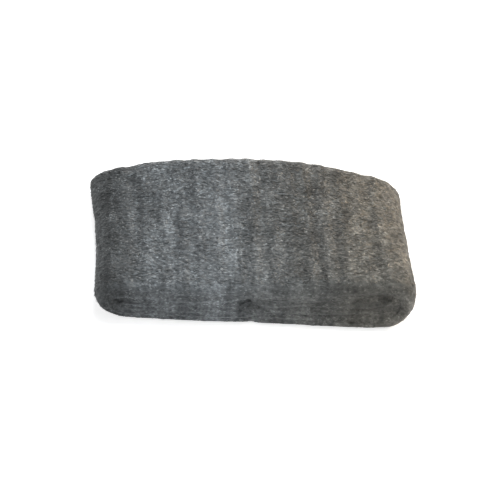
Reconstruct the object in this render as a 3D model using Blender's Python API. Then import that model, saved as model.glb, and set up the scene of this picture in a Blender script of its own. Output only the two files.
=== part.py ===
"""Steel wool hand pad: one ribbon of steel wool, wound flat on itself and pressed into a pad.

X runs along the pad, Y across it from front to back and Z up. The origin is on the surface that the pad
rests on, under its middle. Lengths are in metres.

The ribbon is first wound in a flat drawing, whose two directions are x, along the pad, and depth, the
distance from the slit at the heart of the winding: above it is positive, below it negative. There each
turn is a straight leg under the slit, a half round fold at the left, a leg over the slit and a fold at the
right. The drawing is then settled into the pad's real form, which is thin at the left, full at the front
right and crowned along its back.
"""

import math

import bmesh
import bpy

# The ribbon
RIBBON_WIDTH = 0.0595
RIBBON_THICKNESS = 0.0025
EDGE_WANDER = 0.0004
FRONT_WANDER_LENGTH = 0.034
BACK_WANDER_LENGTH = 0.026
TIP_THICKNESS = 0.0003
TIP_INSET = 0.0016

# The winding
PAD_LENGTH = 0.101
TURNS = 3
TURN_GAP = 0.0003
SLIT_GAP = 0.0004
FOLD_EYE_RADIUS = 0.0007
FOLD_EYE_LENGTH = 0.008

# The ribbon's inner end, the step down of the layers under it and the hollow beside it
INNER_END_X = -0.004
INNER_END_LENGTH = 0.0008
STEP_LENGTH = 0.009
HOLLOW_LIFT = 0.0019
HOLLOW_X = 0.0
HOLLOW_LENGTH = 0.013

# How full the winding is, as a share of its thickness when wound: at the left fold, the middle and the
# right fold, first along the front and then along the back
FRONT_FULLNESS = (0.83, 0.96, 1.27)
BACK_FULLNESS = (0.70, 1.16, 0.76)
SLIT_HEIGHT_SHARE = 0.46

# How the pad lies
END_LIFT = 0.0018
END_LIFT_LENGTH = 0.016
SHOULDER_WIDTH = 0.0052
SHOULDER_DEPTH = 0.0026
LEFT_WAIST = 0.0013
SKEW = 0.0011
OUTER_TURN_INSET = 0.0009
INNER_TURN_INSET = 0.0012

# Low ridges across the top of the outer turn
RIDGE_HEIGHT = 0.00028
RIDGE_LENGTH = 0.0058
RIDGE_BEAT_LENGTH = 0.021
RIDGE_BEAT_SHARE = 0.7

# Facets
FOLD_STEPS = 12
LEG_SPACING = 0.0062
STEP_SPACING = 0.0016
RIDGE_SPACING = 0.0016
EDGE_STEPS = 4
WIDTH_SHARES = (-1.0, -0.935, -0.85, -0.34, 0.34, 0.85, 0.935, 1.0)

# The steel
STEEL_COLOUR = (0.135, 0.135, 0.133, 1.0)
STEEL_METALLIC = 0.75
STEEL_ROUGHNESS = 0.62

PITCH = RIBBON_THICKNESS + TURN_GAP
OUTER_RADIUS = FOLD_EYE_RADIUS + TURNS * PITCH - TURN_GAP
WOUND_THICKNESS = 2.0 * OUTER_RADIUS
FOLD_X = 0.5 * PAD_LENGTH - OUTER_RADIUS
STEP_START_X = INNER_END_X + STEP_LENGTH
LAST_TURN = TURNS - 1


def smooth_share(value):
    """Goes smoothly from 0 to 1 as the value does, and stays at 0 or 1 outside."""
    share = min(max(value, 0.0), 1.0)
    return share * share * (3.0 - 2.0 * share)


def layer_radius(turn):
    """Distance from the slit to the middle of a turn's layer."""
    return FOLD_EYE_RADIUS + 0.5 * RIBBON_THICKNESS + turn * PITCH


def step_share(x):
    """How far the layers under the slit have stepped down by one layer, to make room for the inner end."""
    return smooth_share((STEP_START_X - x) / STEP_LENGTH)


def spaced(start, end, spacing):
    """Places from start up to, but without, end, about a spacing apart."""
    count = max(1, round(abs(end - start) / spacing))
    return [start + (end - start) * i / count for i in range(count)]


def station(x, depth, turn, normal, thickness=RIBBON_THICKNESS):
    """One place along the ribbon, in the flat drawing."""
    return {"x": x, "depth": depth, "turn": turn, "normal": normal, "thickness": thickness}


def inner_end():
    """The blunt inner end of the ribbon, and its first leg, under the slit."""
    depth = -layer_radius(0)
    full_x = INNER_END_X - INNER_END_LENGTH
    yield station(INNER_END_X, depth, 0, (0.0, -1.0), 0.5 * RIBBON_THICKNESS)
    for x in [*spaced(full_x, -FOLD_X, LEG_SPACING), -FOLD_X]:
        yield station(x, depth, 0, (0.0, -1.0))


def fold(side, turn):
    """A half round fold: on the left, side -1, it runs upwards, and on the right, side 1, downwards."""
    radius = layer_radius(turn)
    for i in range(1, FOLD_STEPS):
        swing = math.pi * i / FOLD_STEPS
        normal = (side * math.sin(swing), side * math.cos(swing))
        yield station(side * FOLD_X + radius * normal[0], radius * normal[1], turn, normal)


def upper_leg(turn):
    """A leg over the slit, from left to right. The outer turn has closer stations, for its ridges."""
    if turn == LAST_TURN:
        places = spaced(-FOLD_X, FOLD_X, RIDGE_SPACING)
    else:
        hollow_start = HOLLOW_X - 0.5 * HOLLOW_LENGTH
        hollow_end = HOLLOW_X + 0.5 * HOLLOW_LENGTH
        places = [
            *spaced(-FOLD_X, hollow_start, LEG_SPACING),
            *spaced(hollow_start, hollow_end, STEP_SPACING),
            *spaced(hollow_end, FOLD_X, LEG_SPACING),
        ]
    for x in [*places, FOLD_X]:
        yield station(x, layer_radius(turn), turn, (0.0, 1.0))


def lower_leg(turn):
    """A leg under the slit, from right to left, which steps down into the place of the next turn."""
    places = [
        *spaced(FOLD_X, STEP_START_X, LEG_SPACING),
        *spaced(STEP_START_X, INNER_END_X, STEP_SPACING),
        *spaced(INNER_END_X, -FOLD_X, LEG_SPACING),
    ]
    for x in [*places, -FOLD_X]:
        depth = -layer_radius(turn) - PITCH * step_share(x)
        yield station(x, depth, turn, (0.0, -1.0))


def outer_end():
    """The last leg, on the underside, which thins out under the layer that steps down beside it."""
    places = spaced(FOLD_X, STEP_START_X, LEG_SPACING)
    places += spaced(STEP_START_X, INNER_END_X, STEP_SPACING)
    for x in places:
        thickness = RIBBON_THICKNESS - PITCH * step_share(x)
        if thickness < TIP_THICKNESS:
            return
        yield station(x, 0.5 * thickness - OUTER_RADIUS, LAST_TURN, (0.0, -1.0), thickness)


def winding():
    """All the stations of the ribbon, from its inner end to its outer end."""
    stations = list(inner_end())
    for turn in range(TURNS):
        stations += fold(-1, turn)
        stations += upper_leg(turn)
        stations += fold(1, turn)
        stations += outer_end() if turn == LAST_TURN else lower_leg(turn)
    return stations


def along_pad(left, middle, right, x):
    """The smooth curve that has these three values at the left fold, the middle and the right fold."""
    share = x / FOLD_X
    return middle + 0.5 * (right - left) * share + (0.5 * (right + left) - middle) * share * share


def pad_height(x, y):
    """Height of the pad's top over the surface that the pad rests on."""
    to_back = 0.5 + y / RIBBON_WIDTH
    fullness = along_pad(*FRONT_FULLNESS, x) * (1.0 - to_back) + along_pad(*BACK_FULLNESS, x) * to_back
    return WOUND_THICKNESS * fullness


def slit_closing(x, y, above):
    """How far the layers at this place have moved in towards the slit, from where they were wound.

    Over the hollow they are lifted instead, most at the front."""
    to_fold = smooth_share(1.0 - (FOLD_X - abs(x)) / FOLD_EYE_LENGTH)
    closing = (FOLD_EYE_RADIUS - 0.5 * SLIT_GAP) * (1.0 - to_fold)
    if above:
        to_hollow = 1.0 - abs(x - HOLLOW_X) / (0.5 * HOLLOW_LENGTH)
        to_front = 0.5 - y / RIBBON_WIDTH
        closing -= HOLLOW_LIFT * smooth_share(to_hollow) * smooth_share(to_front)
    return closing


def shoulder_share(y):
    """How far the turns draw in towards the slit, where they round over to the front and back faces."""
    to_edge = max(0.0, 1.0 - (0.5 * RIBBON_WIDTH - abs(y)) / SHOULDER_WIDTH)
    return SHOULDER_DEPTH / OUTER_RADIUS * to_edge * to_edge


def wave(length, wave_length):
    """A wave that swings between 1, where it starts, and -1."""
    return math.cos(2.0 * math.pi * length / wave_length)


def ridges(x):
    """Rise and fall of the ridges across the pad's top, which fade here and there."""
    beat = 1.0 - RIDGE_BEAT_SHARE * 0.5 * (1.0 - wave(x, RIDGE_BEAT_LENGTH))
    return RIDGE_HEIGHT * beat * wave(x, RIDGE_LENGTH)


def settled(x, y, depth):
    """The place in the real pad of a point of the flat drawing, at y across the ribbon."""
    top = pad_height(x, y)
    slit = SLIT_HEIGHT_SHARE * top
    above = depth > 0.0
    closing = slit_closing(x, y, above)
    spread = 1.0 - shoulder_share(y)
    share = spread * (abs(depth) - closing) / (OUTER_RADIUS - closing)
    if abs(x) > FOLD_X:
        x = math.copysign(FOLD_X + spread * (abs(x) - FOLD_X), x)
    if above:
        to_skin = 1.0 - (OUTER_RADIUS - depth) / RIBBON_THICKNESS
        z = slit + (top - slit) * share + ridges(x) * smooth_share(to_skin)
    else:
        z = slit * (1.0 - share)
    to_end = max(0.0, 1.0 - (0.5 * PAD_LENGTH - abs(x)) / END_LIFT_LENGTH)
    z += END_LIFT * to_end * to_end
    across = 2.0 * y / RIBBON_WIDTH
    waist = LEFT_WAIST * (1.0 - across * across) * smooth_share(-2.0 * x / PAD_LENGTH)
    return (x + waist - SKEW * across, y, z)


def edge_places(place, length_so_far):
    """The y of the ribbon's front and back edges: they wander, and some layers are drawn in."""
    to_right = smooth_share(0.5 + place["x"] / PAD_LENGTH)
    if place["turn"] == LAST_TURN:
        inset = OUTER_TURN_INSET * (1.0 - to_right)
    else:
        inset = INNER_TURN_INSET * to_right
    inset += TIP_INSET * (1.0 - place["thickness"] / RIBBON_THICKNESS)
    half_width = 0.5 * RIBBON_WIDTH - inset
    front = EDGE_WANDER * wave(length_so_far, FRONT_WANDER_LENGTH) - half_width
    back = half_width - EDGE_WANDER * wave(length_so_far, BACK_WANDER_LENGTH)
    return front, back


def section(place, length_so_far):
    """The closed outline of the ribbon at one station: flat on both sides, with round edges."""
    front, back = edge_places(place, length_so_far)
    radius = 0.5 * place["thickness"]
    middle = 0.5 * (front + back)
    half_flat = 0.5 * (back - front) - radius
    outline = [(middle + half_flat * share, radius) for share in WIDTH_SHARES]
    for i in range(1, EDGE_STEPS):
        swing = math.pi * i / EDGE_STEPS
        outline.append((middle + half_flat + radius * math.sin(swing), radius * math.cos(swing)))
    outline += [(middle - half_flat * share, -radius) for share in WIDTH_SHARES]
    for i in range(1, EDGE_STEPS):
        swing = math.pi * i / EDGE_STEPS
        outline.append((middle - half_flat - radius * math.sin(swing), -radius * math.cos(swing)))
    normal_x, normal_depth = place["normal"]
    return [
        settled(place["x"] + normal_x * out, y, place["depth"] + normal_depth * out)
        for y, out in outline
    ]


def ribbon_mesh():
    """The whole ribbon as one closed body: its sections joined in order, and a cap at each end."""
    form = bmesh.new()
    rings = []
    length_so_far = 0.0
    last = None
    for place in winding():
        if last:
            length_so_far += math.hypot(place["x"] - last["x"], place["depth"] - last["depth"])
        rings.append([form.verts.new(point) for point in section(place, length_so_far)])
        last = place
    for ring, after in zip(rings, rings[1:]):
        for i in range(len(ring)):
            form.faces.new((ring[i - 1], ring[i], after[i], after[i - 1]))
    form.faces.new(rings[0])
    form.faces.new(rings[-1])
    bmesh.ops.recalc_face_normals(form, faces=form.faces)
    mesh = bpy.data.meshes.new("wool_pad")
    form.to_mesh(mesh)
    form.free()
    mesh.shade_smooth()
    mesh.set_sharp_from_angle(angle=math.radians(60.0))
    return mesh


def steel_material():
    """Fine dull steel fibres, seen together."""
    material = bpy.data.materials.new("steel_wool")
    material.use_nodes = True
    shader = material.node_tree.nodes["Principled BSDF"]
    shader.inputs["Base Color"].default_value = STEEL_COLOUR
    shader.inputs["Metallic"].default_value = STEEL_METALLIC
    shader.inputs["Roughness"].default_value = STEEL_ROUGHNESS
    return material


def main():
    for old in list(bpy.data.objects):
        bpy.data.objects.remove(old, do_unlink=True)
    pad = bpy.data.objects.new("wool_pad", ribbon_mesh())
    pad.data.materials.append(steel_material())
    bpy.context.scene.collection.objects.link(pad)


main()
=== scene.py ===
"""A steel wool pad, lying flat on a white floor.

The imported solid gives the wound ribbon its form. This script makes a finer body of the same form, with
the tufts and streaks of the wool, and lays mats of crimped steel fibres over it. Lengths are in metres.
"""

import math

import bmesh
import bpy
import numpy as np
from mathutils import Matrix, Vector, noise
from mathutils.bvhtree import BVHTree


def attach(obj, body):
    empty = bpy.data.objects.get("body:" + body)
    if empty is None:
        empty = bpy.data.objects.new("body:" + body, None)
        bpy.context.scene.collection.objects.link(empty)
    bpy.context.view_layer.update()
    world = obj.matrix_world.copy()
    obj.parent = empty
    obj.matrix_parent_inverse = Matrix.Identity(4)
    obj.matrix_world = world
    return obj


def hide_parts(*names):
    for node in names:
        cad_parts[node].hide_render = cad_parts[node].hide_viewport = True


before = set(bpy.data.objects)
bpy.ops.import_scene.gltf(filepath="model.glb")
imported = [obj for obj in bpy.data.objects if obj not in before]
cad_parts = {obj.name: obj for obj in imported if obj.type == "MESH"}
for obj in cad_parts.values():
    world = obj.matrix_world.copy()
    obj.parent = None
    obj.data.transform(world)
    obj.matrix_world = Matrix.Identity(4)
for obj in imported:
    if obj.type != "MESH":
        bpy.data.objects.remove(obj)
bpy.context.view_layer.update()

MM = 0.001
SEED = 11

# The camera: it looks at TARGET from DISTANCE, turned to the left of the pad, and leans to the right
IMAGE_WIDTH_PX = 499.0
SENSOR_WIDTH_MM = 36.0
FOCAL_PX = 2496.0
CAMERA_AZIMUTH = math.radians(-6.66)
CAMERA_ELEVATION = math.radians(44.9)
CAMERA_LEAN = math.radians(7.6)
DISTANCE = 0.800
TARGET = Vector((0.0, -0.0013, 0.0067))
CLIP_START = 0.01

# The winding, as the solid has it: the places of its folds, and the height of its slit at the four corners
FOLD_X = 0.0417
HALF_WIDTH = 0.0298
OUTER_RADIUS = 0.0088
SLIT_HEIGHT_LEFT = (0.0067, 0.0057)
SLIT_HEIGHT_RIGHT = (0.0103, 0.0062)

# The fine body
WELD_DISTANCE = 1e-6
VOXEL = 0.45 * MM
CLOSING = 0.15 * MM
TUFT_HEIGHT = 0.22 * MM
TUFT_LENGTH = 7.0 * MM
STREAK_HEIGHT = 0.10 * MM
STREAK_LENGTH = 2.6 * MM
STREAK_WIDTH = 0.9 * MM

# The lines between the turns: a face has the next turn in front of it if that is nearer than TURN_REACH, and
# the lines fade out on skin that faces the front or back by less than GROOVE_LEAST_FACING
TURN_START = 0.02 * MM
TURN_REACH = 1.2 * MM
GROOVE_DEPTH = 0.34 * MM
GROOVE_WIDTH = 0.55 * MM
GROOVE_LOOK_IN = 1.6 * MM
GROOVE_LEAST_FACING = 0.3
GROOVE_GAIN = 1.5

# Creases across the ribbon: place along the pad and height over the skin, strongest at the back
CREASES = (
    (-38.0 * MM, -0.10 * MM), (-30.5 * MM, 0.08 * MM), (-25.5 * MM, 0.09 * MM), (-20.0 * MM, -0.08 * MM),
    (-10.5 * MM, 0.15 * MM), (-7.0 * MM, -0.14 * MM), (-2.2 * MM, 0.15 * MM), (2.0 * MM, -0.15 * MM),
    (5.4 * MM, 0.12 * MM), (9.6 * MM, -0.13 * MM), (13.5 * MM, 0.09 * MM), (21.0 * MM, -0.09 * MM),
)
CREASE_WIDTH = 1.4 * MM
CREASE_LEAN = 0.06
CREASE_LEAN_BEAT = 4.0 * MM
CREASE_FRONT_SHARE = 0.35
CREASE_START_HEIGHT = 4.0 * MM
RIM_WIDTH = 6.0 * MM

# Loose wool in the openings between the turns: place along the pad, height, half length, half height and
# how far it stays behind the pad's front and back
FILLINGS = (
    (0.5 * MM, 8.6 * MM, 8.0 * MM, 2.6 * MM, 1.2 * MM),
    (1.2 * MM, 1.7 * MM, 3.2 * MM, 0.9 * MM, 1.6 * MM),
    (41.0 * MM, 9.0 * MM, 4.0 * MM, 2.4 * MM, 1.6 * MM),
    (-41.0 * MM, 6.4 * MM, 4.0 * MM, 1.6 * MM, 1.6 * MM),
)

# Dents in the front: place along the pad, height, half length, half height, depth and steepness
DENTS = (
    (-1.4 * MM, 9.4 * MM, 3.0 * MM, 2.5 * MM, 1.7 * MM, 1.1),
    (-42.5 * MM, 9.3 * MM, 1.7 * MM, 0.9 * MM, 1.5 * MM, 1.0),
    (-36.0 * MM, 9.0 * MM, 5.5 * MM, 1.5 * MM, 0.9 * MM, 1.0),
    (27.0 * MM, 17.6 * MM, 12.0 * MM, 1.3 * MM, 0.5 * MM, 1.0),
    (41.0 * MM, 15.4 * MM, 5.0 * MM, 2.4 * MM, 0.9 * MM, 1.0),
    (45.4 * MM, 10.2 * MM, 1.9 * MM, 3.0 * MM, 0.5 * MM, 1.0),
)
DENT_LOOK_IN = 4.0 * MM

# Corners at the back that stand out a little: side of the pad, and reach along it and to the back
BACK_CORNERS = ((1.0, 0.5 * MM, 1.1 * MM), (-1.0, 0.7 * MM, 0.0 * MM))
CORNER_START = (24.0 * MM, 4.0 * MM)
CORNER_LENGTH = 22.0 * MM

# Swells of the back between the corners: place along the pad, half length and reach to the back
BACK_SWELLS = ((21.0 * MM, 13.0 * MM, 0.9 * MM), (-33.0 * MM, 8.0 * MM, 0.6 * MM))

# Tufts and streaks are lower at the front and back edges
RIM_ROUGHNESS = 0.25

# Fibres: fewer on the underside, flatter on the front and back and most of all on the rounded rims there,
# shorter round the two folds, and looser towards the right end
UNDERSIDE_SHARE = 0.35
UNDERSIDE_FACING = -0.8
FACE_FACING = 0.35
FACE_FLATNESS = 0.50
RIM_FACING = 0.65
RIM_FACING_RANGE = 0.25
RIM_FLATNESS = 0.6
FOLD_SHORTNESS = 0.6
LOOSENESS = 1.1
LOOSE_FROM = 5.0 * MM
LOOSE_LENGTH = 30.0 * MM
WAVE_SHARES = (0.4, 1.0)
TIP_SHARE = 0.25
TIP_ROUNDNESS = 0.6

# The bake map: its size, the depth it shows on the pad's edges, and where it starts to turn over them
MAP_SIZE = (226.0 * MM, 96.0 * MM)
MAP_DEPTH = 16.0 * MM
MAP_EDGE = (24.0 * MM, 27.5 * MM)

# Patterns of the steel: sizes along and across the ribbon, detail and swing
PATCHES = ((5.0 * MM, 9.0 * MM), 3.0, 0.42)
SPECKS = ((1.1 * MM, 1.0 * MM), 1.0, 0.46)
BANDS = ((2.8 * MM, 30.0 * MM), 1.0, 0.22)
GLOSS = ((2.5 * MM, 0.8 * MM), 1.0, 0.25)
SCRATCHES = ((1.0 * MM, 0.14 * MM), 1.0, 0.5)
NOISE_RANGE = (0.25, 0.75)
BUMP_STRENGTH = 0.3
BUMP_DISTANCE = 0.04 * MM
METALLIC = 0.5
BODY_COLOUR = (0.125, 0.127, 0.129)
BODY_ROUGHNESS = 0.6

# The ribbon's two edges, which the pad shows front and back, are painted a little paler: painted light that
# brightens the pad's front and back faces
EDGE_PAINTED_LIGHT_LEVEL = 1.20
EDGE_START = HALF_WIDTH - 2.0 * MM
EDGE_END = HALF_WIDTH + 0.2 * MM

# Painted light and shade along the pad: place, brightness and warm tint. The left end is painted darker as
# shade, left of the middle is painted palest as cool light, and towards the right end it is painted browner
# as warm light. The tints are the neutral steel's and what the painted warm light adds to it.
PAINTED_LIGHT_STOPS = (
    (-50.0 * MM, 0.48, -0.01), (-41.0 * MM, 0.55, -0.02), (-32.0 * MM, 0.85, -0.03),
    (-10.0 * MM, 0.98, -0.03), (4.0 * MM, 0.64, 0.00), (20.0 * MM, 0.55, 0.03), (36.0 * MM, 0.60, 0.08),
    (50.0 * MM, 0.73, 0.08),
)
NEUTRAL_TINT = (1.0, 1.022, 1.0)
PAINTED_WARM_LIGHT_TINT = (1.2, 0.15, -1.4)

# Painted shade and light on the front: middle, reach and level. Levels under 1 are painted shade in the
# hollows and under the right rim, levels over 1 are painted bounce light low on the front. The level is full
# near the middle and fades out over SPOT_FADE, in shares of the reach.
PAINTED_LIGHT_AND_SHADE_SPOTS = (
    ((-1.0 * MM, -30.0 * MM, 8.8 * MM), (4.2 * MM, 6.0 * MM, 3.6 * MM), 0.52),
    ((43.0 * MM, -31.0 * MM, 13.5 * MM), (14.0 * MM, 5.5 * MM, 8.5 * MM), 0.55),
    ((28.0 * MM, -31.0 * MM, 18.0 * MM), (22.0 * MM, 8.0 * MM, 5.0 * MM), 0.78),
    ((-42.0 * MM, -30.0 * MM, 8.8 * MM), (5.0 * MM, 5.0 * MM, 1.8 * MM), 0.70),
    ((16.0 * MM, -31.0 * MM, 7.5 * MM), (13.0 * MM, 6.0 * MM, 5.0 * MM), 1.35),
    ((-36.0 * MM, -31.0 * MM, 10.0 * MM), (10.0 * MM, 6.0 * MM, 5.0 * MM), 1.28),
    ((42.5 * MM, -31.0 * MM, 10.5 * MM), (8.0 * MM, 6.0 * MM, 7.0 * MM), 0.68),
)
SPOT_FADE = (0.25, 1.15)

# The kinds of fibre, each a mat of its own
FIBRE_KINDS = {
    "mass": dict(
        count=5400, steps=4, length=(1.4 * MM, 2.8 * MM), spread=0.20, arch=(0.04 * MM, 0.11 * MM),
        dip=0.07 * MM, wave=0.16 * MM, lift_wave=0.03 * MM, wave_length=(1.8 * MM, 3.2 * MM),
        width=(0.60 * MM, 1.00 * MM), height=0.11, roll=0.12,
        colour=(0.140, 0.142, 0.143), roughness=0.50,
    ),
    "pale": dict(
        count=5000, steps=4, length=(0.9 * MM, 1.9 * MM), spread=0.22, arch=(0.05 * MM, 0.12 * MM),
        dip=0.07 * MM, wave=0.15 * MM, lift_wave=0.03 * MM, wave_length=(1.6 * MM, 3.0 * MM),
        width=(0.55 * MM, 0.90 * MM), height=0.13, roll=0.14,
        colour=(0.170, 0.172, 0.173), roughness=0.45,
    ),
    "bright": dict(
        count=5200, steps=4, length=(0.6 * MM, 1.4 * MM), spread=0.30, arch=(0.08 * MM, 0.16 * MM),
        dip=0.06 * MM, wave=0.10 * MM, lift_wave=0.03 * MM, wave_length=(1.4 * MM, 2.6 * MM),
        width=(0.42 * MM, 0.66 * MM), height=0.17, roll=0.18,
        colour=(0.240, 0.242, 0.244), roughness=0.42,
    ),
    "fine_dark": dict(
        count=3000, steps=6, length=(3.0 * MM, 7.0 * MM), spread=0.22, arch=(0.10 * MM, 0.22 * MM),
        dip=0.08 * MM, wave=0.22 * MM, lift_wave=0.05 * MM, wave_length=(2.0 * MM, 4.0 * MM),
        width=(0.28 * MM, 0.38 * MM), height=0.30, roll=0.3,
        colour=(0.130, 0.131, 0.132), roughness=0.45,
    ),
    "fine_pale": dict(
        count=3000, steps=6, length=(2.5 * MM, 6.0 * MM), spread=0.24, arch=(0.10 * MM, 0.22 * MM),
        dip=0.08 * MM, wave=0.22 * MM, lift_wave=0.05 * MM, wave_length=(1.8 * MM, 3.6 * MM),
        width=(0.28 * MM, 0.38 * MM), height=0.30, roll=0.3,
        colour=(0.175, 0.177, 0.179), roughness=0.40,
    ),
    "fuzz": dict(
        count=6500, steps=3, length=(1.6 * MM, 3.6 * MM), spread=0.50, arch=(0.20 * MM, 0.46 * MM),
        dip=0.05 * MM, wave=0.25 * MM, lift_wave=0.06 * MM, wave_length=(1.4 * MM, 2.6 * MM),
        width=(0.07 * MM, 0.10 * MM), height=0.8, roll=0.8,
        colour=(0.240, 0.242, 0.244), roughness=0.40,
    ),
}

# The lamps: name, place, size, power, colour, aim and the cone's width in degrees
ORIGIN = (0.0, 0.0, 0.0)
WIDE = 180.0
LAMPS = (
    ("warm_right", (0.118, 0.04, 0.085), 0.07, 0.105, (1.0, 0.80, 0.60), ORIGIN, WIDE),
    ("cool_top", (0.05, 0.16, 0.90), 0.35, 3.7, (0.84, 0.93, 1.0), ORIGIN, WIDE),
    ("left_fill", (-0.20, -0.25, 0.08), 0.12, 0.06, (0.88, 0.95, 1.0), ORIGIN, WIDE),
    ("back_rim", (0.02, 0.60, 0.16), 0.30, 1.2, (1.0, 0.95, 0.90), ORIGIN, WIDE),
    ("floor_front", (0.085, -0.17, 0.25), 0.14, 0.27, (0.95, 0.98, 1.0), (0.085, -0.17, 0.0), 60.0),
)

# The floor and the sky. FLOOR_LIFT whitens the floor for the rays that see it directly.
FLOOR_SIZE = 6.0
FLOOR_GAP = 0.2 * MM
FLOOR_COLOUR = (0.86, 0.86, 0.86, 1.0)
FLOOR_LIFT = 0.76
WHITE = (1.0, 1.0, 1.0, 1.0)
WORLD_LIGHT = 0.20


def slit_height(x, y):
    """Height of the winding's slit over the floor, at places x, y."""
    to_right = np.clip(0.5 + 0.5 * x / FOLD_X, 0.0, 1.0)
    to_back = np.clip(0.5 + 0.5 * y / HALF_WIDTH, 0.0, 1.0)
    left = SLIT_HEIGHT_LEFT[0] * (1.0 - to_back) + SLIT_HEIGHT_LEFT[1] * to_back
    right = SLIT_HEIGHT_RIGHT[0] * (1.0 - to_back) + SLIT_HEIGHT_RIGHT[1] * to_back
    return left * (1.0 - to_right) + right * to_right


def from_slit(points):
    """Each point's offset from the slit, along the pad and up."""
    x, y, z = points.T
    return x - np.clip(x, -FOLD_X, FOLD_X), z - slit_height(x, y)


def winding_direction(points):
    """Unit vectors along the ribbon: to the right over the slit, down at the right fold, and so on round."""
    out, up = from_slit(points)
    length = np.maximum(np.hypot(out, up), 1e-9)
    return np.stack([up / length, np.zeros(len(points)), -out / length], 1)


def flow_places(points):
    """Each point's place along the winding, across it and out from its slit."""
    out, up = from_slit(points)
    depth = np.hypot(out, up)
    swing = np.arctan2(np.abs(out), np.abs(up))
    along = np.clip(points[:, 0], -FOLD_X, FOLD_X) + np.sign(out) * OUTER_RADIUS * swing
    return np.stack([along, points[:, 1], depth], 1)


def rim_fade(points):
    """0 at the pad's front and back and beyond them, and 1 from RIM_WIDTH inwards."""
    return np.clip((HALF_WIDTH - np.abs(points[:, 1])) / RIM_WIDTH, 0.0, 1.0)


def crease_heights(points):
    """How far the creases lift or sink the skin at each point of the upper side."""
    heights = np.zeros(len(points))
    off_rim = rim_fade(points)
    for place, height in CREASES:
        lean = place + CREASE_LEAN * (points[:, 1] + HALF_WIDTH) * math.sin(place / CREASE_LEAN_BEAT)
        heights += height * np.exp(-((points[:, 0] - lean) / CREASE_WIDTH) ** 2)
    to_back = np.clip((points[:, 1] + HALF_WIDTH) / (2.0 * HALF_WIDTH), 0.0, 1.0)
    over_slit = np.clip(from_slit(points)[1] / CREASE_START_HEIGHT, 0.0, 1.0)
    return heights * (CREASE_FRONT_SHARE + (1.0 - CREASE_FRONT_SHARE) * to_back) * over_slit * off_rim


def dent_depths(points):
    """How deep the dents in the front sink each point."""
    depths = np.zeros(len(points))
    for x, z, half_length, half_height, depth, steepness in DENTS:
        off = ((points[:, 0] - x) / half_length) ** 2 + ((points[:, 2] - z) / half_height) ** 2
        depths += depth * np.exp(-(off ** steepness))
    return np.where(points[:, 1] < -HALF_WIDTH + DENT_LOOK_IN, depths, 0.0)


def eased(shares):
    """Shares between 0 and 1, with a soft start and end."""
    return shares * shares * (3.0 - 2.0 * shares)


def back_moves(points):
    """How far the corners and the swells of the back carry each point outwards."""
    moves = np.zeros_like(points)
    to_back = np.clip((points[:, 1] - CORNER_START[1]) / CORNER_LENGTH, 0.0, 1.0)
    for x, half_length, reach in BACK_SWELLS:
        moves[:, 1] += reach * np.exp(-((points[:, 0] - x) / half_length) ** 2) * to_back
    for side, reach_x, reach_y in BACK_CORNERS:
        out = np.clip((side * points[:, 0] - CORNER_START[0]) / CORNER_LENGTH, 0.0, 1.0)
        share = eased(out) * eased(to_back)
        moves[:, 0] += side * reach_x * share
        moves[:, 1] += reach_y * share
    return moves


def store_flow(mesh):
    """Keeps each point's place in the winding on the mesh, for the shaders."""
    flow = mesh.attributes.new("flow", "FLOAT_VECTOR", "POINT")
    flow.data.foreach_set("vector", flow_places(mesh_points(mesh)).ravel())


def store_bake_map(mesh):
    """A map for baking colours: the pad's skin rolled out flat, cut under its middle.

    Each face is laid out whole, so its own middle says on which side of the slit and the cut it lies."""
    corners = np.empty(len(mesh.loops), dtype=np.int32)
    mesh.loops.foreach_get("vertex_index", corners)
    sizes = np.empty(len(mesh.polygons), dtype=np.int32)
    mesh.polygons.foreach_get("loop_total", sizes)
    points = mesh_points(mesh)[corners]
    starts = np.cumsum(sizes) - sizes
    middles = np.repeat(np.add.reduceat(points, starts) / sizes[:, None], sizes, axis=0)
    out, up = from_slit(points)
    on_top = from_slit(middles)[1] > 0.0
    end = np.where(middles[:, 0] >= 0.0, 1.0, -1.0)
    edge = np.where(middles[:, 1] >= 0.0, 1.0, -1.0)
    flat = np.clip(points[:, 0], -FOLD_X, FOLD_X)
    swing = np.where(out == 0.0, np.where(on_top, 0.0, math.pi), np.arctan2(np.abs(out), up))
    along = np.where(on_top, flat, 2.0 * end * FOLD_X - flat) + end * OUTER_RADIUS * swing
    over_edge = np.clip((np.abs(points[:, 1]) - MAP_EDGE[0]) / (MAP_EDGE[1] - MAP_EDGE[0]), 0.0, 1.0)
    across = points[:, 1] + edge * over_edge * (MAP_DEPTH - np.hypot(out, up))
    layer = mesh.uv_layers.new(name="OFBake")
    places = 0.5 + np.stack([along / MAP_SIZE[0], across / MAP_SIZE[1]], 1)
    layer.uv.foreach_set("vector", places.astype(np.float32).ravel())


def mesh_points(mesh):
    points = np.empty(3 * len(mesh.vertices))
    mesh.vertices.foreach_get("co", points)
    return points.reshape(-1, 3)


def packed_form():
    """The solid's mesh as a bmesh, with its shared points joined again."""
    form = bmesh.new()
    form.from_mesh(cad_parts["wool_pad"].data)
    bmesh.ops.remove_doubles(form, verts=form.verts, dist=WELD_DISTANCE)
    form.normal_update()
    return form


def turn_boundaries(form):
    """A tree of the faces on which one turn of the ribbon lies against the next."""
    tree = BVHTree.FromBMesh(form)
    inner = []
    for face in form.faces:
        start = face.calc_center_median() + TURN_START * face.normal
        if tree.ray_cast(start, face.normal, TURN_REACH)[0] is not None:
            inner.append([vert.index for vert in face.verts])
    return BVHTree.FromPolygons([vert.co for vert in form.verts], inner)


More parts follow.
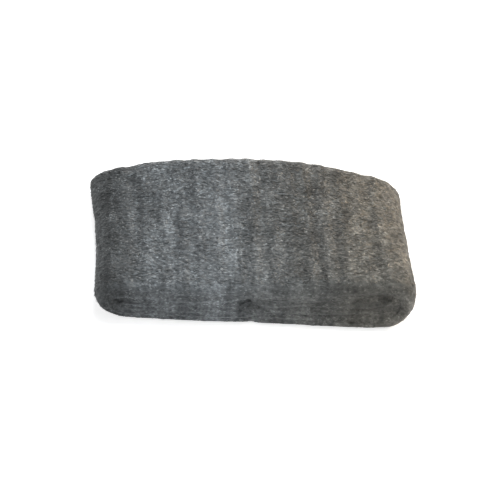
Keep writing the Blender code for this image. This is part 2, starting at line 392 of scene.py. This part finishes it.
def closed_form(form):
    """The solid's form as one fine skin: swollen a little, so that its turns touch, and remeshed."""
    for vert in form.verts:
        vert.co += CLOSING * vert.normal
    for x, z, half_length, half_height, recess in FILLINGS:
        stretch = Matrix.Diagonal((half_length, 2.0 * (HALF_WIDTH - recess), half_height, 1.0))
        upright_to_lying = Matrix.Rotation(math.pi / 2.0, 4, "X")
        bmesh.ops.create_cone(
            form, segments=20, radius1=1.0, radius2=1.0, depth=1.0, cap_ends=True,
            matrix=Matrix.Translation((x, 0.0, z)) @ stretch @ upright_to_lying,
        )
    mesh = bpy.data.meshes.new("swollen")
    form.to_mesh(mesh)
    carrier = bpy.data.objects.new("swollen", mesh)
    bpy.context.scene.collection.objects.link(carrier)
    remesh = carrier.modifiers.new("remesh", "REMESH")
    remesh.mode = "VOXEL"
    remesh.voxel_size = VOXEL
    remesh.use_smooth_shade = True
    graph = bpy.context.evaluated_depsgraph_get()
    mesh = bpy.data.meshes.new_from_object(carrier.evaluated_get(graph))
    bpy.data.objects.remove(carrier)
    return mesh


def groove_depths(verts, boundaries):
    """How deep the lines between the turns sink each point of the pad's front and back."""
    depths = []
    for vert in verts:
        facing = abs(vert.normal.y)
        if facing < GROOVE_LEAST_FACING:
            depths.append(0.0)
            continue
        inside = vert.co.copy()
        inside.y -= math.copysign(GROOVE_LOOK_IN, vert.co.y)
        distance = boundaries.find_nearest(inside)[3]
        strength = min(1.0, GROOVE_GAIN * facing)
        depths.append(GROOVE_DEPTH * strength * math.exp(-(distance / GROOVE_WIDTH) ** 2))
    return np.array(depths)


def keep_largest_shell(form):
    """Leaves out the small closed bubbles between the turns."""
    unseen = set(form.verts)
    shells = []
    while unseen:
        shell, edge_of_shell = set(), [unseen.pop()]
        while edge_of_shell:
            vert = edge_of_shell.pop()
            shell.add(vert)
            for edge in vert.link_edges:
                other = edge.other_vert(vert)
                if other in unseen:
                    unseen.remove(other)
                    edge_of_shell.append(other)
        shells.append(shell)
    largest = max(shells, key=len)
    bubbles = [vert for shell in shells if shell is not largest for vert in shell]
    bmesh.ops.delete(form, geom=bubbles, context="VERTS")


def fine_body():
    """The wound ribbon as one skin of small facets, with tufts and streaks."""
    packed = packed_form()
    boundaries = turn_boundaries(packed)
    form = bmesh.new()
    form.from_mesh(closed_form(packed))
    packed.free()
    keep_largest_shell(form)
    form.normal_update()
    for vert in form.verts:
        vert.co -= CLOSING * vert.normal
    bmesh.ops.smooth_vert(
        form, verts=form.verts, factor=0.5, use_axis_x=True, use_axis_y=True, use_axis_z=True
    )
    form.normal_update()
    points = np.array([v.co for v in form.verts])
    rise = crease_heights(points) - dent_depths(points) - groove_depths(form.verts, boundaries)
    moves = []
    loose = RIM_ROUGHNESS + (1.0 - RIM_ROUGHNESS) * rim_fade(points)
    for vert, lift, share, back_move, (along, across, depth) in zip(
        form.verts, rise, loose, back_moves(points), flow_places(points)
    ):
        tuft = noise.noise(Vector((along, across, depth)) / TUFT_LENGTH)
        streak = noise.noise(
            Vector((along / STREAK_LENGTH, across / STREAK_WIDTH, depth / STREAK_WIDTH))
        )
        moves.append(
            vert.normal * float(share * (TUFT_HEIGHT * tuft + STREAK_HEIGHT * streak) + lift)
            + Vector(back_move)
        )
    for vert, move in zip(form.verts, moves):
        vert.co += move
        vert.co.z = max(vert.co.z, 0.0)
    bmesh.ops.triangulate(form, faces=form.faces)
    form.normal_update()
    mesh = bpy.data.meshes.new("wool_body")
    form.to_mesh(mesh)
    form.free()
    mesh.shade_smooth()
    return mesh


def add_piece(name, mesh, material):
    """A shown piece of the pad, which moves with it."""
    store_flow(mesh)
    store_bake_map(mesh)
    piece = bpy.data.objects.new(name, mesh)
    bpy.context.scene.collection.objects.link(piece)
    mesh.materials.append(material)
    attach(piece, "root")
    return piece


def skin_seeds(mesh, count, rng):
    """Random places on the skin, evenly spread but fewer on the underside."""
    points = mesh_points(mesh)
    corners = np.array([face.vertices for face in mesh.polygons])
    a, b, c = (points[corners[:, i]] for i in range(3))
    cross = np.cross(b - a, c - a)
    weight = np.linalg.norm(cross, axis=1)
    weight = np.where(cross[:, 2] < UNDERSIDE_FACING * weight, UNDERSIDE_SHARE * weight, weight)
    chosen = rng.choice(len(corners), count, p=weight / weight.sum())
    s, t = rng.random((2, count))
    flip = s + t > 1.0
    s, t = np.where(flip, 1.0 - s, s)[:, None], np.where(flip, 1.0 - t, t)[:, None]
    return a[chosen] + s * (b - a)[chosen] + t * (c - a)[chosen]


def on_skin(tree, points):
    """The nearest places on the body and its normals there."""
    found = [tree.find_nearest(Vector(p))[:2] for p in points]
    places, normals = zip(*found)
    return np.array(places), np.array(normals)


def unit(vectors):
    return vectors / np.maximum(np.linalg.norm(vectors, axis=1), 1e-12)[:, None]


def traced(tree, seeds, lengths, steps, turn):
    """Lines on the skin, which start at the seeds and run along the winding, turned by an angle each.

    Gives places, normals and side directions, each as steps + 1 rows of points."""
    places, normals = on_skin(tree, seeds)
    rows = []
    for i in range(steps + 1):
        along = winding_direction(places)
        along = unit(along - normals * (along * normals).sum(1)[:, None])
        side = np.cross(normals, along)
        heading = along * np.cos(turn)[:, None] + side * np.sin(turn)[:, None]
        rows.append((places, normals, np.cross(normals, heading)))
        if i < steps:
            stepped = places + heading * (lengths / steps)[:, None]
            places, normals = on_skin(tree, stepped)
    return [np.array(row) for row in zip(*rows)]


def fibre_mesh(name, lines, widths, heights, roll):
    """Closed slivers along lines of points: roof-shaped, thin at both ends and turned a little by roll."""
    centres, normals, sides = lines
    rows, count, _ = centres.shape
    shares = np.linspace(0.0, 1.0, rows)
    taper = (TIP_SHARE + (1.0 - TIP_SHARE) * np.sin(np.pi * shares) ** TIP_ROUNDNESS)[:, None]
    cos, sin = np.cos(roll)[None, :], np.sin(roll)[None, :]
    rings = []
    for across, up in ((-0.5, 0.0), (0.5, 0.0), (0.0, 1.0)):
        reach = across * widths[None, :] * taper
        rise = up * heights[None, :] * taper
        side_part, normal_part = reach * cos - rise * sin, reach * sin + rise * cos
        rings.append(centres + side_part[:, :, None] * sides + normal_part[:, :, None] * normals)
    points = np.stack(rings, 2).transpose(1, 0, 2, 3).reshape(-1, 3)
    points[:, 2] = np.maximum(points[:, 2], 0.0)
    first = np.arange(count)[:, None] * rows * 3
    quads = []
    for at in range(0, 3 * (rows - 1), 3):
        for corner in range(3):
            after = (corner + 1) % 3
            quads.append([at + corner, at + after, at + 3 + after, at + 3 + corner])
    quads = (first[:, :, None] + np.array(quads)[None]).reshape(-1, 4)
    last = (rows - 1) * 3
    caps = np.array([[2, 1, 0], [last, last + 1, last + 2]])
    caps = (first[:, :, None] + caps[None]).reshape(-1, 3)
    mesh = bpy.data.meshes.new(name)
    mesh.from_pydata(points, [], quads.tolist() + caps.tolist())
    mesh.update()
    return mesh


def lay_fibres(name, tree, body, kind, rng):
    """One mat of fibres: they run along the winding, in low arches that dip into the body at their ends."""
    count, steps = kind["count"], kind["steps"]
    seeds = skin_seeds(body, count, rng)
    lengths = rng.uniform(*kind["length"], count)
    lengths *= np.where(np.abs(seeds[:, 0]) > FOLD_X, FOLD_SHORTNESS, 1.0)
    looseness = 1.0 + LOOSENESS * np.clip((seeds[:, 0] - LOOSE_FROM) / LOOSE_LENGTH, 0.0, 1.0)
    turn = looseness * rng.normal(0.0, kind["spread"], count)
    places, normals, sides = traced(tree, seeds, lengths, steps, turn)
    shares = np.linspace(0.0, 1.0, steps + 1)[:, None]
    facing = np.abs(normals[0][:, 1])
    flatness = np.where(facing > FACE_FACING, FACE_FLATNESS, 1.0)
    flatness *= 1.0 - RIM_FLATNESS * np.exp(-((facing - RIM_FACING) / RIM_FACING_RANGE) ** 2)
    arch = rng.uniform(*kind["arch"], count) * flatness
    waves = lengths / rng.uniform(*kind["wave_length"], count)
    side_phase, lift_phase = rng.uniform(0.0, 2.0 * math.pi, (2, count))
    wave = kind["wave"] * rng.uniform(*WAVE_SHARES, count)
    lift = arch * np.sin(math.pi * shares) - kind["dip"]
    lift = lift + kind["lift_wave"] * np.sin(2.0 * math.pi * waves * shares + lift_phase)
    sway = wave * np.sin(2.0 * math.pi * waves * shares + side_phase)
    centres = places + normals * lift[:, :, None] + sides * sway[:, :, None]
    widths = rng.uniform(*kind["width"], count) * (0.5 + 0.5 * flatness)
    heights = kind["height"] * widths
    roll = rng.normal(0.0, kind["roll"], count)
    return fibre_mesh(name, (centres, normals, sides), widths, heights, roll)


def calculated(nodes, links, operation, *values):
    """The result of a Math node. Its inputs are sockets or constants."""
    node = nodes.new("ShaderNodeMath")
    node.operation = operation
    for socket, value in zip(node.inputs, values):
        if isinstance(value, bpy.types.NodeSocket):
            links.new(value, socket)
        else:
            socket.default_value = value
    return node.outputs[0]


def mapped(nodes, links, value, span, levels, clamp=True, interpolation="LINEAR"):
    """A socket that goes from the first level to the second while value goes over the span."""
    node = nodes.new("ShaderNodeMapRange")
    node.clamp = clamp
    node.interpolation_type = interpolation
    for name, number in zip(("From Min", "From Max", "To Min", "To Max"), (*span, *levels)):
        node.inputs[name].default_value = number
    links.new(value, node.inputs["Value"])
    return node.outputs["Result"]


def noise_factor(nodes, links, flow, pattern):
    """A socket with noise along and across the ribbon, between 1 - swing and 1 + swing."""
    (length, width), detail, swing = pattern
    scaled = nodes.new("ShaderNodeVectorMath")
    scaled.operation = "MULTIPLY"
    scaled.inputs[1].default_value = (1.0 / length, 1.0 / width, 1.0 / width)
    links.new(flow, scaled.inputs[0])
    texture = nodes.new("ShaderNodeTexNoise")
    texture.inputs["Scale"].default_value = 1.0
    texture.inputs["Detail"].default_value = detail
    links.new(scaled.outputs["Vector"], texture.inputs["Vector"])
    levels = (1.0 - swing, 1.0 + swing)
    return mapped(nodes, links, texture.outputs["Fac"], NOISE_RANGE, levels, clamp=False)


def painted_edge_light_factor(nodes, links, across):
    """A socket that is 1 on the ribbon and the edge level on its two edges: painted light on the pad's front
    and back.
    """
    off_middle = calculated(nodes, links, "ABSOLUTE", across)
    span, levels = (EDGE_START, EDGE_END), (1.0, EDGE_PAINTED_LIGHT_LEVEL)
    return mapped(nodes, links, off_middle, span, levels, interpolation="SMOOTHSTEP")


def painted_spot_factor(nodes, links, middle, reach, level):
    """A socket that goes from 1 to level round one spot: painted shade where the level is under 1, painted
    light where it is over 1.
    """
    place = nodes.new("ShaderNodeTexCoord").outputs["Object"]
    offset = nodes.new("ShaderNodeVectorMath")
    offset.operation = "SUBTRACT"
    offset.inputs[1].default_value = middle
    links.new(place, offset.inputs[0])
    share = nodes.new("ShaderNodeVectorMath")
    share.operation = "DIVIDE"
    share.inputs[1].default_value = reach
    links.new(offset.outputs["Vector"], share.inputs[0])
    distance = nodes.new("ShaderNodeVectorMath")
    distance.operation = "LENGTH"
    links.new(share.outputs["Vector"], distance.inputs[0])
    levels = (level, 1.0)
    return mapped(nodes, links, distance.outputs["Value"], SPOT_FADE, levels, interpolation="SMOOTHSTEP")


def colour_with_painted_light_along(nodes, links, place_along, colour):
    """The colour of the steel at each place along the pad, with painted light and shade from the stops."""
    start, end = PAINTED_LIGHT_STOPS[0][0], PAINTED_LIGHT_STOPS[-1][0]
    ramp = nodes.new("ShaderNodeValToRGB")
    ramp.color_ramp.interpolation = "EASE"
    while len(ramp.color_ramp.elements) < len(PAINTED_LIGHT_STOPS):
        ramp.color_ramp.elements.new(0.5)
    for element, (stop, level, painted_warmth) in zip(ramp.color_ramp.elements, PAINTED_LIGHT_STOPS):
        tint = [neutral + warm * painted_warmth for neutral, warm in zip(NEUTRAL_TINT, PAINTED_WARM_LIGHT_TINT)]
        element.position = (stop - start) / (end - start)
        element.color = (*[level * share * part for share, part in zip(tint, colour)], 1.0)
    links.new(mapped(nodes, links, place_along, (start, end), (0.0, 1.0)), ramp.inputs["Fac"])
    return ramp.outputs["Color"]


def steel(name, colour, roughness):
    """Steel wool: patches, specks and bands of tone, painted light and shade along the pad, on the ribbon's
    edges and round spots on the front, and fine scratches along the ribbon.
    """
    material = bpy.data.materials.new(name)
    material.use_nodes = True
    nodes, links = material.node_tree.nodes, material.node_tree.links
    shader = nodes["Principled BSDF"]
    shader.inputs["Metallic"].default_value = METALLIC
    flow_node = nodes.new("ShaderNodeAttribute")
    flow_node.attribute_name = "flow"
    flow = flow_node.outputs["Vector"]
    place = nodes.new("ShaderNodeSeparateXYZ")
    links.new(flow, place.inputs[0])

    factors = [noise_factor(nodes, links, flow, pattern) for pattern in (PATCHES, SPECKS, BANDS)]
    # Painted light on the ribbon's edges, which brightens the pad's front and back faces
    factors.append(painted_edge_light_factor(nodes, links, place.outputs["Y"]))
    # Painted shade in the front's hollows and under its right rim, and painted bounce light low on the front
    factors += [painted_spot_factor(nodes, links, *spot) for spot in PAINTED_LIGHT_AND_SHADE_SPOTS]
    tone = factors[0]
    for factor in factors[1:]:
        tone = calculated(nodes, links, "MULTIPLY", tone, factor)
    # The base colour carries painted light and shade along the pad, from the stops
    shaded = nodes.new("ShaderNodeVectorMath")
    shaded.operation = "SCALE"
    links.new(colour_with_painted_light_along(nodes, links, place.outputs["X"], colour), shaded.inputs[0])
    links.new(tone, shaded.inputs["Scale"])
    links.new(shaded.outputs["Vector"], shader.inputs["Base Color"])

    gloss = noise_factor(nodes, links, flow, GLOSS)
    links.new(calculated(nodes, links, "MULTIPLY", gloss, roughness), shader.inputs["Roughness"])

    bump = nodes.new("ShaderNodeBump")
    bump.inputs["Strength"].default_value = BUMP_STRENGTH
    bump.inputs["Distance"].default_value = BUMP_DISTANCE
    links.new(noise_factor(nodes, links, flow, SCRATCHES), bump.inputs["Height"])
    links.new(bump.outputs["Normal"], shader.inputs["Normal"])
    return material


def make_pad():
    """The body of the pad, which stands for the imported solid, and its mats of fibres."""
    body_mesh = fine_body()
    tree = BVHTree.FromPolygons(
        [v.co for v in body_mesh.vertices], [p.vertices for p in body_mesh.polygons]
    )
    rng = np.random.default_rng(SEED)
    material = steel("wool_body", BODY_COLOUR, BODY_ROUGHNESS)
    body = add_piece("wool_body", body_mesh, material)
    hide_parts("wool_pad")
    for tone, kind in FIBRE_KINDS.items():
        material = steel(f"fibre_{tone}", kind["colour"], kind["roughness"])
        mesh = lay_fibres(f"fibres_{tone}", tree, body_mesh, kind, rng)
        add_piece(f"fibres_{tone}", mesh, material)


def make_camera():
    azimuth, elevation, lean = CAMERA_AZIMUTH, CAMERA_ELEVATION, CAMERA_LEAN
    ahead = Vector((
        -math.sin(azimuth) * math.cos(elevation),
        math.cos(azimuth) * math.cos(elevation),
        -math.sin(elevation),
    ))
    level = Vector((math.cos(azimuth), math.sin(azimuth), 0.0))
    upright = level.cross(ahead)
    right = level * math.cos(lean) + upright * math.sin(lean)
    up = upright * math.cos(lean) - level * math.sin(lean)
    data = bpy.data.cameras.new("camera")
    data.sensor_width = SENSOR_WIDTH_MM
    data.lens = FOCAL_PX / IMAGE_WIDTH_PX * SENSOR_WIDTH_MM
    data.clip_start = CLIP_START
    camera = bpy.data.objects.new("camera", data)
    bpy.context.scene.collection.objects.link(camera)
    axes = Matrix((right, up, -ahead)).transposed().to_4x4()
    camera.matrix_world = Matrix.Translation(TARGET - ahead * DISTANCE) @ axes
    bpy.context.scene.camera = camera


def area_lamp(name, place, size, power, colour, aim, spread):
    """A square lamp at a place, turned to its aim, with a cone of so many degrees."""
    data = bpy.data.lights.new(name, "AREA")
    data.shape = "SQUARE"
    data.size = size
    data.energy = power
    data.color = colour
    data.spread = math.radians(spread)
    lamp = bpy.data.objects.new(name, data)
    bpy.context.scene.collection.objects.link(lamp)
    lamp.visible_camera = False
    lamp.location = place
    lamp.rotation_euler = (Vector(aim) - Vector(place)).to_track_quat("-Z", "Y").to_euler()


def seen_directly(nodes, links):
    """A socket that is 1 for camera, glossy and transmission rays, and 0 for the rest."""
    rays = nodes.new("ShaderNodeLightPath")
    total = rays.outputs["Is Camera Ray"]
    for kind in ("Is Glossy Ray", "Is Transmission Ray"):
        total = calculated(nodes, links, "MAXIMUM", total, rays.outputs[kind])
    return total


def make_floor():
    bpy.ops.mesh.primitive_plane_add(size=FLOOR_SIZE, location=(0.0, 0.0, -FLOOR_GAP))
    floor = bpy.context.object
    floor.name = "floor"
    material = bpy.data.materials.new("floor")
    material.use_nodes = True
    nodes, links = material.node_tree.nodes, material.node_tree.links
    shader = nodes["Principled BSDF"]
    shader.inputs["Base Color"].default_value = FLOOR_COLOUR
    shader.inputs["Roughness"].default_value = 0.9
    shader.inputs["Specular IOR Level"].default_value = 0.1
    shader.inputs["Emission Color"].default_value = WHITE
    lift = calculated(nodes, links, "MULTIPLY", seen_directly(nodes, links), FLOOR_LIFT)
    links.new(lift, shader.inputs["Emission Strength"])
    floor.data.materials.append(material)


def make_world():
    world = bpy.data.worlds.new("studio")
    world.use_nodes = True
    nodes, links = world.node_tree.nodes, world.node_tree.links
    background = nodes["Background"]
    background.inputs["Color"].default_value = WHITE
    strength = mapped(nodes, links, seen_directly(nodes, links), (0.0, 1.0), (WORLD_LIGHT, 1.0))
    links.new(strength, background.inputs["Strength"])
    bpy.context.scene.world = world


def make_studio():
    """White floor and background, an even sky and soft lamps."""
    make_floor()
    make_world()
    for lamp in LAMPS:
        area_lamp(*lamp)


def main():
    bpy.context.scene.view_settings.view_transform = "Standard"
    make_camera()
    make_studio()
    make_pad()


main()
